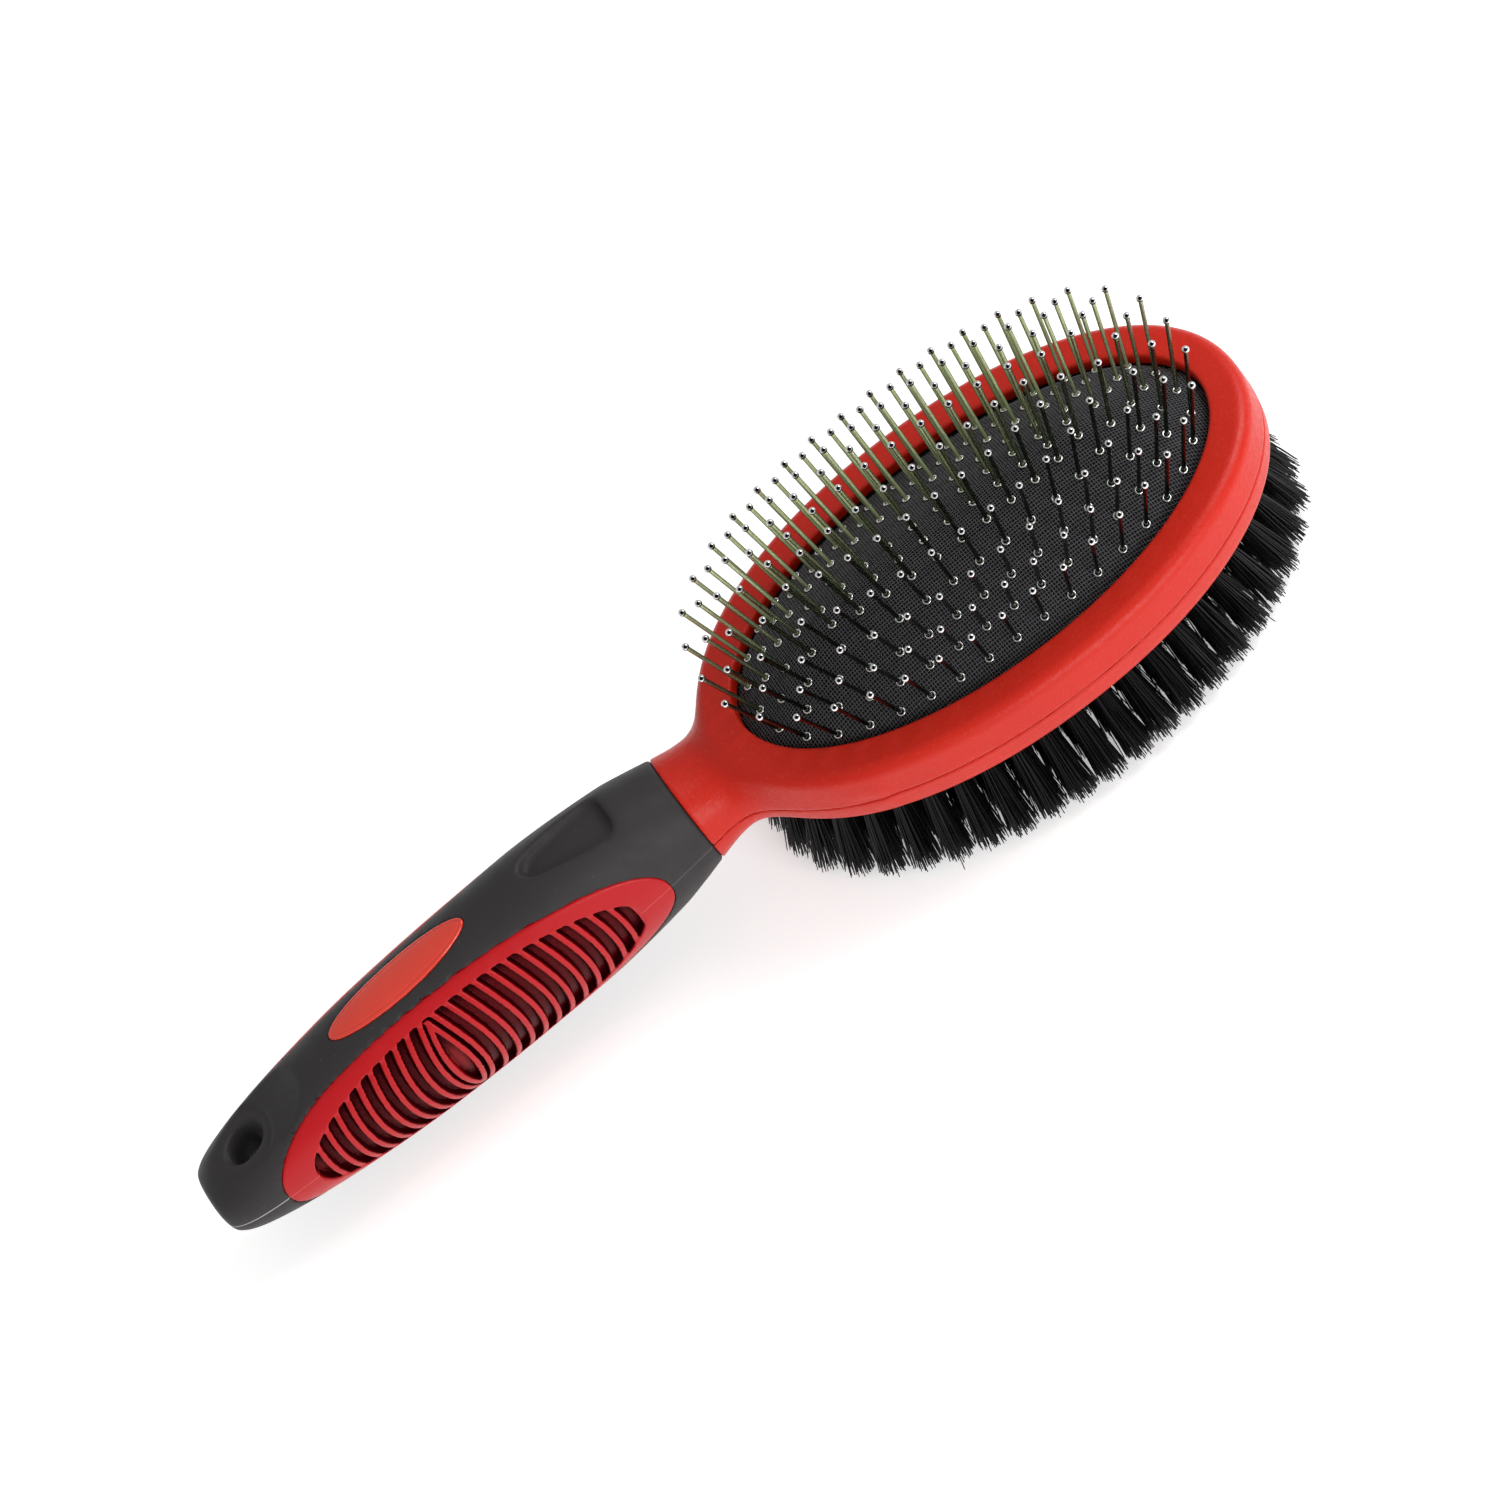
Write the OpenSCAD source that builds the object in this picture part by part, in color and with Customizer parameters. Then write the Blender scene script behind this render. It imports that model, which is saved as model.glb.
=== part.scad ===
// Double-sided bristle brush: an oval head with ball-tipped wire pins on a domed
// cushion on one face, filled bristle tufts on the other face, and a soft-grip handle.
// Frame: origin on the axis of the hang hole at the centre line of the handle, +X towards
// the head tip, +Z out of the pin side, +Y to the left. The shapes below are drawn about
// the centre of the oval head, on the parting plane of its shells, then placed().

/* [Head shells] */
// length of the head oval without the neck
head_l = 116.6; // [112:0.1:120]
// width of the head oval
head_w = 69; // [67:0.1:72]
// height of the pin side shell above the parting plane
rim_h = 7.8; // [7.6:0.1:8.4]
// depth of the bristle side shell below the parting plane
base_h = 6.7; // [6.6:0.1:7.4]
// width of the cushion opening
opening_w = 53.4; // [52:0.1:54]

/* [Neck and handle] */
// distance from the head centre to the face where grip and neck meet
joint_x = 68.1; // [67:0.1:69]
// distance from the head centre to the tail end
tail_x = 180; // [179:0.5:184]
// fall of the handle centre line per millimetre of length
droop = 0.072; // [0.06:0.002:0.08]
// radius of the hang hole
hang_r = 3.4; // [3:0.1:3.8]
// distance from the head centre to the hang hole axis
hang_x = 168.5; // [167:0.5:169.5]

/* [Grip] */
// thickness of the soft grip over the core
grip_t = 3.4; // [3.2:0.1:3.6]
// length of one ribbed side insert
insert_l = 89; // [80:0.5:90]
// height of one ribbed side insert
insert_h = 29; // [24:0.5:30]
// ribs between the leaf shaped rib and the tail
ribs_tail = 9; // [6:1:9]
// ribs between the leaf shaped rib and the head
ribs_head = 11; // [8:1:11]
// length of the oval badge
badge_l = 32; // [24:0.5:34]
// width of the oval badge
badge_w = 8; // [6:0.5:9]

/* [Cushion and pins] */
// rise of the cushion dome above its clamped edge
dome_h = 12.4; // [11.4:0.1:13]
// thickness of the cushion membrane
membrane_t = 1.2; // [1:0.1:1.3]
// pin length from the membrane to the top of the ball
pin_l = 18.8; // [17:0.1:20]
// diameter of a pin wire
pin_d = 0.8; // [0.7:0.1:1]
// diameter of a pin ball tip
ball_d = 1.4; // [1.3:0.1:1.8]
// pins on the outer ring; every ring inside it has four fewer
pin_count = 38; // [30:4:38]

/* [Bristle side] */
// bristle length from the plate to the tips
bristle_l = 21; // [14:0.5:23]
// spacing of the tufts along a ring
tuft_pitch = 5.7; // [5.6:0.1:6.5]
// radius of one tuft at its tips
tuft_tip_r = 2.4; // [1.6:0.1:2.5]

/* [Hidden] */

red = [0.8, 0.16, 0.13];
dark_red = [0.72, 0.1, 0.12];
grip_grey = [0.24, 0.24, 0.25];
rubber_black = [0.1, 0.1, 0.11];
steel = [0.72, 0.73, 0.74];

gap = 0.1;
head_a = head_l / 2;
head_b = head_w / 2;
head_n = 2.1;
oval_seg = 64;
oval_lead = 24.5;
opening_b = opening_w / 2;
cavity_b = 30.8;
lip_z = 5;
edge_z = lip_z - gap;
dome_b = 25.9;
dome_crown = 10;
bristle_open_b = 29.4;
ledge_z = -3.7;
seam_gap = 0.05;
grip_n = 2.2;

// Plan curve of the outer head, inset by d from its largest outline.
function head_pts(d) = [for (i = [0:oval_seg - 1])
    let (a = 360 * i / oval_seg, c = cos(a), s = sin(a))
    [(head_a - d) * sign(c) * pow(abs(c), 2 / head_n),
     (head_b - d) * sign(s) * pow(abs(s), 2 / head_n)]];
// Ring family: every ring is longer than wide by the same amount, and e sets how full
// its corners are (2 is a plain ellipse).
function ring_pt(b, lead, e, a) = [(b + lead) * sign(cos(a)) * pow(abs(cos(a)), 2 / e),
    b * sign(sin(a)) * pow(abs(sin(a)), 2 / e)];
function ring_pts(b, lead, seg, e = 2) = [for (i = [0:seg - 1])
    ring_pt(b, lead, e, 360 * i / seg)];
// Skin through a stack of closed outlines that all have the same number of points.
module skin(rings) {
    m = len(rings);
    k = len(rings[0]);
    pts = [for (r = rings) for (p = r) p];
    low = [for (i = [0:k - 1]) i];
    top = [for (i = [0:k - 1]) (m - 1) * k + k - 1 - i];
    walls = [for (j = [0:m - 2]) for (i = [0:k - 1])
        each [[j * k + i, j * k + k + i, j * k + (i + 1) % k],
              [j * k + (i + 1) % k, j * k + k + i, j * k + k + (i + 1) % k]]];
    polyhedron(points = pts, faces = concat([low], walls, [top]), convexity = 6);
}
module oval_block(b, z0, z1, lead = oval_lead, seg = oval_seg) {
    translate([0, 0, z0])
        linear_extrude(z1 - z0)
            polygon(ring_pts(b, lead, seg));
}

// Moves a shape from the head's own frame to the frame of the part.
module placed() {
    translate([hang_x, 0, -centre_z(-hang_x)])
        children();
}

// ---- outer form of head and neck ----
// Side profile of the head as [inset, height] from the bottom face to the top face.
side_profile = [[3.4, -base_h], [1.9, -base_h + 0.35], [0.9, -base_h + 1.5],
    [0.3, -3], [0, -0.4], [0.35, -seam_gap], [0.35, seam_gap], [0, 0.4],
    [0.15, 3.2], [0.5, rim_h - 2.3], [1.2, rim_h - 1], [2.2, rim_h - 0.3],
    [3.8, rim_h], [5.6, rim_h]];
module head_form() {
    skin([for (s = side_profile) [for (p = head_pts(s[0])) [p[0], p[1], s[1]]]]);
}
function centre_z(x) = droop * (x + 40);
// Superelliptic cross section at station x, half width w, half height h.
function section(x, w, h, zc, n, seg) = [for (i = [0:seg - 1])
    let (a = -360 * i / seg, c = cos(a), s = sin(a))
    [x, w * sign(c) * pow(abs(c), 2 / n), zc + h * sign(s) * pow(abs(s), 2 / n)]];
// Smooth curve through hand-set stations [x, value]: cubic pieces with shared slopes.
function piece_at(x, t, i = 0) = i >= len(t) - 2 || x <= t[i + 1][0] ? i : piece_at(x, t, i + 1);
function slope_at(t, i) =
    let (a = max(i - 1, 0), b = min(i + 1, len(t) - 1))
    (t[b][1] - t[a][1]) / (t[b][0] - t[a][0]);
function curve(x, t) =
    let (i = piece_at(x, t), l = t[i + 1][0] - t[i][0], u = (x - t[i][0]) / l,
        s = u * u * (3 - 2 * u))
    t[i][1] * (1 - s) + t[i + 1][1] * s
        + l * (slope_at(t, i) * u * (1 - u) * (1 - u) - slope_at(t, i + 1) * u * u * (1 - u));
neck_w = [[-joint_x, 10.6], [-62, 10.2], [-57, 11.8], [-52, 15.5], [-44, 22]];
neck_h = [[-joint_x, 10.8], [-62, 8.7], [-57, 7.7], [-50, 6.9], [-44, 6.6]];
neck_z = [[-joint_x, centre_z(-joint_x)], [-57, -0.9], [-50, 0.3], [-44, 0.5]];
neck_steps = 10;
module neck_form() {
    skin([for (i = [neck_steps:-1:0]) let (x = -joint_x + (joint_x - 44) * i / neck_steps)
        section(x, curve(x, neck_w), curve(x, neck_h), curve(x, neck_z), grip_n, 32)]);
}
// Region below (or above) the parting surface, which follows the handle in the neck.
module parting_block(side) {
    g = side * seam_gap;
    rotate([90, 0, 0])
        linear_extrude(100, center = true)
            polygon([[-90, centre_z(-90) + g], [-40, g], [70, g], [70, 40 * side],
                [-90, 40 * side]]);
}
module tongue(grow) {
    rotate([90, 0, 0])
        linear_extrude(12.4 + 2 * grow, center = true)
            polygon([[-80, centre_z(-80) - 4 - grow], [-57.5 + grow, centre_z(-57.5) - 4 - grow],
                [-57.5 + grow, centre_z(-57.5) + 4 + grow], [-80, centre_z(-80) + 4 + grow]]);
}
module pin_side_shell() {
    color(red)
        placed()
            difference() {
                intersection() {
                    union() {
                        head_form();
                        neck_form();
                    }
                    parting_block(1);
                }
                oval_block(cavity_b, -1, lip_z);
                oval_block(opening_b, 1, rim_h + 5, 24);
                tongue(gap);
            }
}
module bristle_side_shell() {
    color(red)
        placed()
            difference() {
                intersection() {
                    union() {
                        head_form();
                        neck_form();
                    }
                    parting_block(-1);
                }
                oval_block(cavity_b, ledge_z, 1);
                oval_block(bristle_open_b, -base_h - 5, ledge_z + 1);
                tongue(gap);
            }
}

// ---- handle ----
// Half width and half height of the grip at hand-set stations along its length.
grip_w = [[-tail_x, 3], [-tail_x + 0.8, 5], [-tail_x + 3, 6.9], [-tail_x + 7, 8.3], [-166, 9.7],
    [-155, 10.8], [-140, 11.6], [-125, 12.2], [-110, 12.4], [-95, 12.2], [-79, 11.5],
    [-73, 11], [-joint_x, 10.6]];
grip_h = [[-tail_x, 2.4], [-tail_x + 0.8, 3.6], [-tail_x + 3, 5], [-tail_x + 7, 7], [-166, 10.4],
    [-155, 13.6], [-140, 16], [-125, 16.8], [-110, 17], [-95, 16.9], [-79, 14.8],
    [-73, 12.9], [-joint_x, 10.8]];
grip_stations = [for (s = grip_w) s[0]];
function between(v) = [for (i = [0:len(v) - 2]) each [v[i], (v[i] + v[i + 1]) / 2]];
// Loft of the grip form pushed inwards by off, from x0 to x1.
module grip_form(off, x0, x1, seg) {
    xs = concat([x0], [for (x = between(grip_stations)) if (x > x0 + 0.5 && x < x1 - 0.5) x], [x1]);
    k = len(xs);
    skin([for (i = [k - 1:-1:0]) let (x = xs[i])
        section(x, curve(x, grip_w) - off, curve(x, grip_h) - off, centre_z(x), grip_n, seg)]);
}
grip_seg = 40;
front_x = -joint_x - gap;
core_tail = -159;
insert_x = -123;
insert_n = 2.3;
insert_skin = 2.5;
insert_x0 = insert_x - insert_l / 2 - 1;
insert_x1 = insert_x + insert_l / 2 + 1;
rib_depth = 1.6;
pocket_l = insert_l - 13;
pocket_h = insert_h - 3;
leaf_x = -127.5;
rib_pitch_tail = 2.95;
rib_pitch_head = 3.15;
rib_w = 1.1;
badge_x = -127.4;
thumb_x = -88;
// Side window in the x-z plane: a superellipse that follows the falling centre line.
function window_pts(l, h, seg) = [for (i = [0:seg - 1])
    let (a = 360 * i / seg, c = cos(a), s = sin(a),
        x = insert_x + l / 2 * sign(c) * pow(abs(c), 2 / insert_n))
    [x, centre_z(x) + h / 2 * sign(s) * pow(abs(s), 2 / insert_n)]];
module side_prism(side) {
    translate([0, side * 15, 0])
        rotate([90, 0, 0])
            linear_extrude(24, center = true)
                children();
}
module oval_prism(x, l, w, z0, z1, seg = 48) {
    translate([x, 0, z0])
        linear_extrude(z1 - z0)
            scale([l / w, 1])
                circle(d = w, $fn = seg);
}
// Bowed rib line through station x: it bulges away from the leaf shaped rib.
bow_r = 34;
module rib_line(x, side) {
    intersection() {
        translate([x - side * bow_r, centre_z(x)])
            difference() {
                circle(bow_r + rib_w / 2, $fn = 72);
                circle(bow_r - rib_w / 2, $fn = 72);
            }
        translate([x - 5, centre_z(x) - 16])
            square([10, 32]);
    }
}
module leaf_rib() {
    intersection() {
        translate([leaf_x - 32, centre_z(leaf_x)])
            circle(34, $fn = 72);
        translate([leaf_x + 32, centre_z(leaf_x)])
            circle(34, $fn = 72);
    }
}
module rib_pattern() {
    for (i = [1:ribs_tail])
        rib_line(leaf_x - 0.6 - rib_pitch_tail * i, -1);
    for (i = [1:ribs_head])
        rib_line(leaf_x + 0.6 + rib_pitch_head * i, 1);
    difference() {
        leaf_rib();
        translate([leaf_x, centre_z(leaf_x)])
            scale([0.45, 0.82])
                translate([-leaf_x, -centre_z(leaf_x)])
                    leaf_rib();
    }
}
module grip_insert(side) {
    difference() {
        intersection() {
            grip_form(0, insert_x0, insert_x1, grip_seg);
            side_prism(side)
                polygon(window_pts(insert_l, insert_h, 56));
        }
        grip_form(insert_skin - gap, insert_x0 - 1, insert_x1 + 1, 32);
        difference() {
            side_prism(side)
                difference() {
                    polygon(window_pts(pocket_l, pocket_h, 48));
                    rib_pattern();
                }
            grip_form(rib_depth, insert_x0 - 1, insert_x1 + 1, 32);
        }
    }
}
module grip_insert_left() {
    color(dark_red)
        placed()
            grip_insert(1);
}
module grip_insert_right() {
    color(dark_red)
        placed()
            grip_insert(-1);
}
module badge() {
    color(red)
        placed()
            difference() {
                intersection() {
                    grip_form(-0.35, badge_x - 20, badge_x + 20, grip_seg);
                    oval_prism(badge_x, badge_l, badge_w, 0, 20);
                }
                grip_form(1.2, badge_x - 21, badge_x + 21, 32);
            }
}
module thumb_recess() {
    translate([thumb_x, 0, centre_z(thumb_x) + 15.2])
        rotate([0, -2, 0])
            linear_extrude(5, scale = 1.35)
                hull() {
                    translate([-6.6, 0])
                        circle(2.1, $fn = 32);
                    translate([5.6, 2.4])
                        circle(1.5, $fn = 32);
                    translate([5.6, -2.4])
                        circle(1.5, $fn = 32);
                }
}
// Sloping flats that thin the tail around the hang hole, one on each face.
module tail_scoop(side) {
    translate([-160.5, 0, centre_z(-160.5) + side * 14.2])
        rotate([0, side * -24, 0])
            translate([-11, 0, side * 3])
                scale([1.9, 0.82, 1])
                    cylinder(h = 12, r = 10, center = true, $fn = 64);
}
module grip_sleeve() {
    color(grip_grey)
        placed()
            difference() {
                grip_form(0, -tail_x, front_x, grip_seg);
                grip_form(grip_t, core_tail - gap, front_x + 1, 32);
                for (side = [-1, 1])
                    difference() {
                        side_prism(side)
                            polygon(window_pts(insert_l + 2 * gap, insert_h + 2 * gap, 56));
                        grip_form(insert_skin, insert_x0 - 2, insert_x1 + 2, 32);
                    }
                difference() {
                    oval_prism(badge_x, badge_l + 2 * gap, badge_w + 2 * gap, 0, 22);
                    grip_form(1.3, badge_x - 22, badge_x + 22, 32);
                }
                thumb_recess();
                tail_scoop(1);
                translate([-hang_x, 0, centre_z(-hang_x) - 20])
                    cylinder(h = 40, r = hang_r, $fn = 64);
            }
}
module handle_core() {
    color(rubber_black)
        placed()
            union() {
                grip_form(grip_t + 2 * gap, core_tail, front_x, 32);
                tongue(0);
            }
}

// ---- cushion ----
// The dome is a round crown that runs out into straight flanks.
function fall(b) = norm([b, dome_crown]) - dome_crown;
function dome_share(b) = 1 - fall(min(b, dome_b)) / fall(dome_b);
function dome_z(b) = edge_z + dome_h * dome_share(b);
// Fullness of the rings on the dome: plain ellipses at the clamped edge, fuller inside.
function full_e(b) = min(2.5, 2 + 0.12 * max(0, dome_b - b));
dome_steps = [dome_b, 23.8, 21.4, 18.6, 15.6, 12.6, 9.6, 6.6, 3.8, 1.2];
dome_seg = 56;
function flat_ring(b, z) = [for (p = ring_pts(b, oval_lead, dome_seg, full_e(b)))
    [p[0], p[1], z]];
function dome_rings(dz) = [for (b = dome_steps) flat_ring(b, dome_z(b) + dz)];
module dome_solid(dz, z0) {
    skin(concat([flat_ring(dome_b, z0)], dome_rings(dz)));
}
flange_b = 30.3;
// Profile of the membrane as rings: out along its underside, round the flange, back on top.
membrane_rings = concat(
    [for (i = [len(dome_steps) - 1:-1:1]) flat_ring(dome_steps[i], dome_z(dome_steps[i]) - membrane_t)],
    [flat_ring(dome_b - 0.9, edge_z - membrane_t), flat_ring(flange_b, edge_z - membrane_t),
        flat_ring(flange_b, edge_z)],
    dome_rings(0));
module cushion_membrane() {
    color(rubber_black)
        placed()
            difference() {
                skin(membrane_rings);
                for (p = all_pins)
                    at_pin(p)
                        cylinder(h = 8, r = pin_d / 2 + gap, center = true, $fn = 16);
            }
}
ring_z0 = -0.2;
module cushion_ring() {
    color(rubber_black)
        placed()
            difference() {
                oval_block(flange_b, ring_z0, edge_z - membrane_t - gap);
                oval_block(dome_b - 0.4, ring_z0 - 1, edge_z);
            }
}
module cushion_base_plate() {
    color(rubber_black)
        placed()
            oval_block(flange_b, -2.3, ring_z0 - gap);
}
foam_drop = 4.4;
module foam_pad() {
    color([0.35, 0.35, 0.37])
        placed()
            intersection() {
                dome_solid(-foam_drop, ring_z0 + 0.02);
                oval_block(dome_b - 1.2, ring_z0 + 0.02, 20);
            }
}

// ---- pins ----
// Arc position: pins sit at equal distances along each ring of the ring family.
function arc_table(b, lead, e, seg) = [for (i = 0, s = 0, p = [b + lead, 0]; i <= seg;
    i = i + 1, q = ring_pt(b, lead, e, 360 * i / seg), s = s + norm(q - p), p = q)
    [s, 360 * i / seg]];
function even_ring(b, n, shift, e = 2) =
    let (t = arc_table(b, oval_lead, e, 90), full = t[len(t) - 1][0])
    [for (i = [0:n - 1])
        let (q = ring_pt(b, oval_lead, e, lookup(full * ((i + shift) / n), t)))
        [q[0], q[1], b]];
// Neighbouring rings are staggered by half a step where they pass the centre.
function pin_ring(k, b, shift) = even_ring(b, pin_count - 4 * k, shift, full_e(b));
pins_outer = pin_ring(0, 22.1, 0);
pins_second = pin_ring(1, 18, 0.5);
pins_third = pin_ring(2, 13.95, 0);
pins_fourth = pin_ring(3, 9.3, 0.5);
pins_inner = pin_ring(4, 4.4, 0.5);
pins_centre = [for (i = [-4:4]) [5.5 * i, 0, 0]];
all_pins = concat(pins_outer, pins_second, pins_third, pins_fourth, pins_inner, pins_centre);
// The pins fan out: lean grows steadily along X, and across Y it swells then eases.
lean_x = 0.325;
lean_y = 25;
function side_lean(p) = p[2] > 0 ? lean_y * sin(5.3 * p[2]) * p[1] / p[2] : 0;
function pin_dir(p) = [tan(lean_x * p[0]), tan(side_lean(p)), 1];
module at_pin(p) {
    d = pin_dir(p);
    translate([p[0], p[1], dome_z(p[2])])
        rotate([0, acos(1 / norm(d)), atan2(d[1], d[0])])
            children();
}
head_disc_r = 1.3;
head_disc_t = 0.5;
head_disc_z = -membrane_t - 1;
module pin() {
    translate([0, 0, head_disc_z - head_disc_t])
        cylinder(h = head_disc_t, r = head_disc_r, $fn = 32);
    translate([0, 0, head_disc_z - 0.1])
        cylinder(h = pin_l - ball_d / 2 - head_disc_z + 0.1, r = pin_d / 2, $fn = 32);
    translate([0, 0, pin_l - ball_d / 2])
        rotate_extrude($fn = 32)
            intersection() {
                circle(d = ball_d, $fn = 32);
                translate([0, -ball_d])
                    square([ball_d, 2 * ball_d]);
            }
}
module pins(list) {
    color(steel)
        placed()
            for (p = list)
                at_pin(p)
                    pin();
}
module pin_ring_outer() {
    pins(pins_outer);
}
module pin_ring_second() {
    pins(pins_second);
}
module pin_ring_third() {
    pins(pins_third);
}
module pin_ring_fourth() {
    pins(pins_fourth);
}
module pin_ring_inner() {
    pins(pins_inner);
}
module pin_row_centre() {
    pins(pins_centre);
}

// ---- bristle side ----
plate_z0 = -base_h - 0.2;
plate_z1 = -2.4;
tuft_r = 1.05;
hole_depth = 3.6;
root_depth = 3;
tuft_b = [26.4, 20.7, 15, 9.3];
function ring_length(b) = let (t = arc_table(b, oval_lead, 2, 90)) t[len(t) - 1][0];
function tuft_ring(b, pitch, shift) = even_ring(b, round(ring_length(b) / pitch), shift);
tufts_outer = tuft_ring(tuft_b[0], tuft_pitch, 0.5);
tufts_second = tuft_ring(tuft_b[1], tuft_pitch, 0);
tufts_third = tuft_ring(tuft_b[2], tuft_pitch, 0.5);
tufts_inner = tuft_ring(tuft_b[3], tuft_pitch, 0);
tufts_centre = tuft_ring(3.8, 1.1 * tuft_pitch, 0);
all_tufts = concat(tufts_outer, tufts_second, tufts_third, tufts_inner, tufts_centre);
module at_tuft(p) {
    d = [tan(0.28 * p[0]), tan(0.68 * p[1]), -1];
    translate([p[0], p[1], plate_z0])
        rotate([0, acos(-1 / norm(d)), atan2(d[1], d[0])])
            children();
}
module tuft() {
    translate([0, 0, -root_depth])
        cylinder(h = root_depth, r = tuft_r, $fn = 32);
    cylinder(h = bristle_l, r1 = tuft_r, r2 = tuft_tip_r, $fn = 32);
}
module tufts(list) {
    color(rubber_black)
        placed()
            for (p = list)
                at_tuft(p)
                    tuft();
}
module tuft_ring_outer() {
    tufts(tufts_outer);
}
module tuft_ring_second() {
    tufts(tufts_second);
}
module tuft_ring_third() {
    tufts(tufts_third);
}
module tuft_ring_inner() {
    tufts(tufts_inner);
}
module tuft_row_centre() {
    tufts(tufts_centre);
}
module tuft_anchors() {
    color(steel)
        placed()
            for (p = all_tufts)
                at_tuft(p)
                    translate([0, 0, -root_depth - 0.3])
                        cube([1.7, 0.5, 0.4], center = true);
}
module bristle_plate() {
    color(rubber_black)
        placed()
            difference() {
                union() {
                    oval_block(bristle_open_b - gap, plate_z0, plate_z1);
                    oval_block(flange_b, ledge_z + gap, plate_z1);
                }
                for (p = all_tufts)
                    at_tuft(p)
                        translate([0, 0, -hole_depth])
                            cylinder(h = hole_depth + 2, r = tuft_r + gap, $fn = 32);
            }
}

pin_side_shell();
bristle_side_shell();
handle_core();
grip_sleeve();
grip_insert_left();
grip_insert_right();
badge();
cushion_membrane();
cushion_ring();
foam_pad();
cushion_base_plate();
pin_ring_outer();
pin_ring_second();
pin_ring_third();
pin_ring_fourth();
pin_ring_inner();
pin_row_centre();
bristle_plate();
tuft_ring_outer();
tuft_ring_second();
tuft_ring_third();
tuft_ring_inner();
tuft_row_centre();
tuft_anchors();
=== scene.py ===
"""Looks of the double-sided brush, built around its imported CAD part.

Lengths are millimetres about HEAD, the centre of the oval head in the part's frame, unless a line
says otherwise: +X runs to the tip of the head and +Z out of the pin side.
"""
import math

import bpy
import numpy as np
from mathutils import Matrix, Vector


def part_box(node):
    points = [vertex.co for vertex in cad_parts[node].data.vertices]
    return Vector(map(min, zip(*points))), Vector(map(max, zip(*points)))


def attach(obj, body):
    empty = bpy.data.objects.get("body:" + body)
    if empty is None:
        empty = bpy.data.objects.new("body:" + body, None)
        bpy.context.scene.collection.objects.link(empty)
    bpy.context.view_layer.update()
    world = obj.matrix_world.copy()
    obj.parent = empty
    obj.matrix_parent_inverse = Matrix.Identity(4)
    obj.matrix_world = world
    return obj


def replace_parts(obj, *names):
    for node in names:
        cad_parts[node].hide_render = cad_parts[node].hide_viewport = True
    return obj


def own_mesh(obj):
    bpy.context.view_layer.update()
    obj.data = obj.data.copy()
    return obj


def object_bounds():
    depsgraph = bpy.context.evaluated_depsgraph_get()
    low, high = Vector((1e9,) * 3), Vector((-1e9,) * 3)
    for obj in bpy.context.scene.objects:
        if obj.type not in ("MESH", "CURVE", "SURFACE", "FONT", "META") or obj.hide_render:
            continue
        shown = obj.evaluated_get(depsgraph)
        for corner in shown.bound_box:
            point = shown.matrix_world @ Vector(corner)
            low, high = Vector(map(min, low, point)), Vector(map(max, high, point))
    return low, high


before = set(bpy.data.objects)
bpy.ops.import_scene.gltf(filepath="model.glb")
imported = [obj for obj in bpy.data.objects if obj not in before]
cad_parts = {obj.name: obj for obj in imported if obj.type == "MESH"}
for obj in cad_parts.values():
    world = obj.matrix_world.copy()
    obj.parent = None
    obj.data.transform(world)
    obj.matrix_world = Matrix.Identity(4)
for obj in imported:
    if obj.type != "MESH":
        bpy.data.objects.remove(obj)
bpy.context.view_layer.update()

MM = 0.001
BRUSH = "brush_body"
COARSER = 1.0

# ---------------------------------------------------------------- sizes shared with the part
HEAD_A, HEAD_B, HEAD_N = 58.3, 34.5, 2.1  # oval head: half length, half width, superellipse power
RIM_Z, BASE_Z = 7.8, -6.7
OPEN_B, OPEN_LEAD = 26.7, 24.0  # opening round the cushion: half width, and what its half length adds
LEAD = 24.5  # what the half length of every other oval adds to its half width
CAVITY_B, LIP_Z, LEDGE_Z = 30.8, 5.0, -3.7
BRISTLE_OPEN_B = 29.4
DOME_B, DOME_H, CROWN = 25.9, 12.4, 10.0
EDGE_Z, FLANGE_B, MEMBRANE_T = 4.9, 30.3, 1.2
JOINT_X, TAIL_X = -68.1, -180.0  # the grip's two ends
DROOP_X, DROOP = -40.0, 0.072  # the handle's centre line drops by DROOP per mm behind DROOP_X
GRIP_N = 2.2
SEAM_GAP = 0.08

rng = np.random.default_rng(11)
plate_lo, plate_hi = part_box("cushion_base_plate")
HEAD = Vector(((plate_lo.x + plate_hi.x) / 2, (plate_lo.y + plate_hi.y) / 2, plate_hi.z + 0.3 * MM))


def centre_z(x):
    return DROOP * (x - DROOP_X)


# ---------------------------------------------------------------- curves through stations
def curve(stations):
    """Smooth curve through (x, value) stations, with slopes shared between its pieces."""
    t = np.array(stations, float)
    x, v = t[:, 0], t[:, 1]
    slope = np.empty(len(x))
    slope[1:-1] = (v[2:] - v[:-2]) / (x[2:] - x[:-2])
    slope[0] = (v[1] - v[0]) / (x[1] - x[0])
    slope[-1] = (v[-1] - v[-2]) / (x[-1] - x[-2])

    def at(q):
        q = np.asarray(q, float)
        i = np.clip(np.searchsorted(x, q, side="right") - 1, 0, len(x) - 2)
        l = x[i + 1] - x[i]
        u = np.clip((q - x[i]) / l, 0, 1)
        s = u * u * (3 - 2 * u)
        bend = slope[i] * u * (1 - u) ** 2 - slope[i + 1] * u * u * (1 - u)
        return v[i] * (1 - s) + v[i + 1] * s + l * bend

    return at


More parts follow.
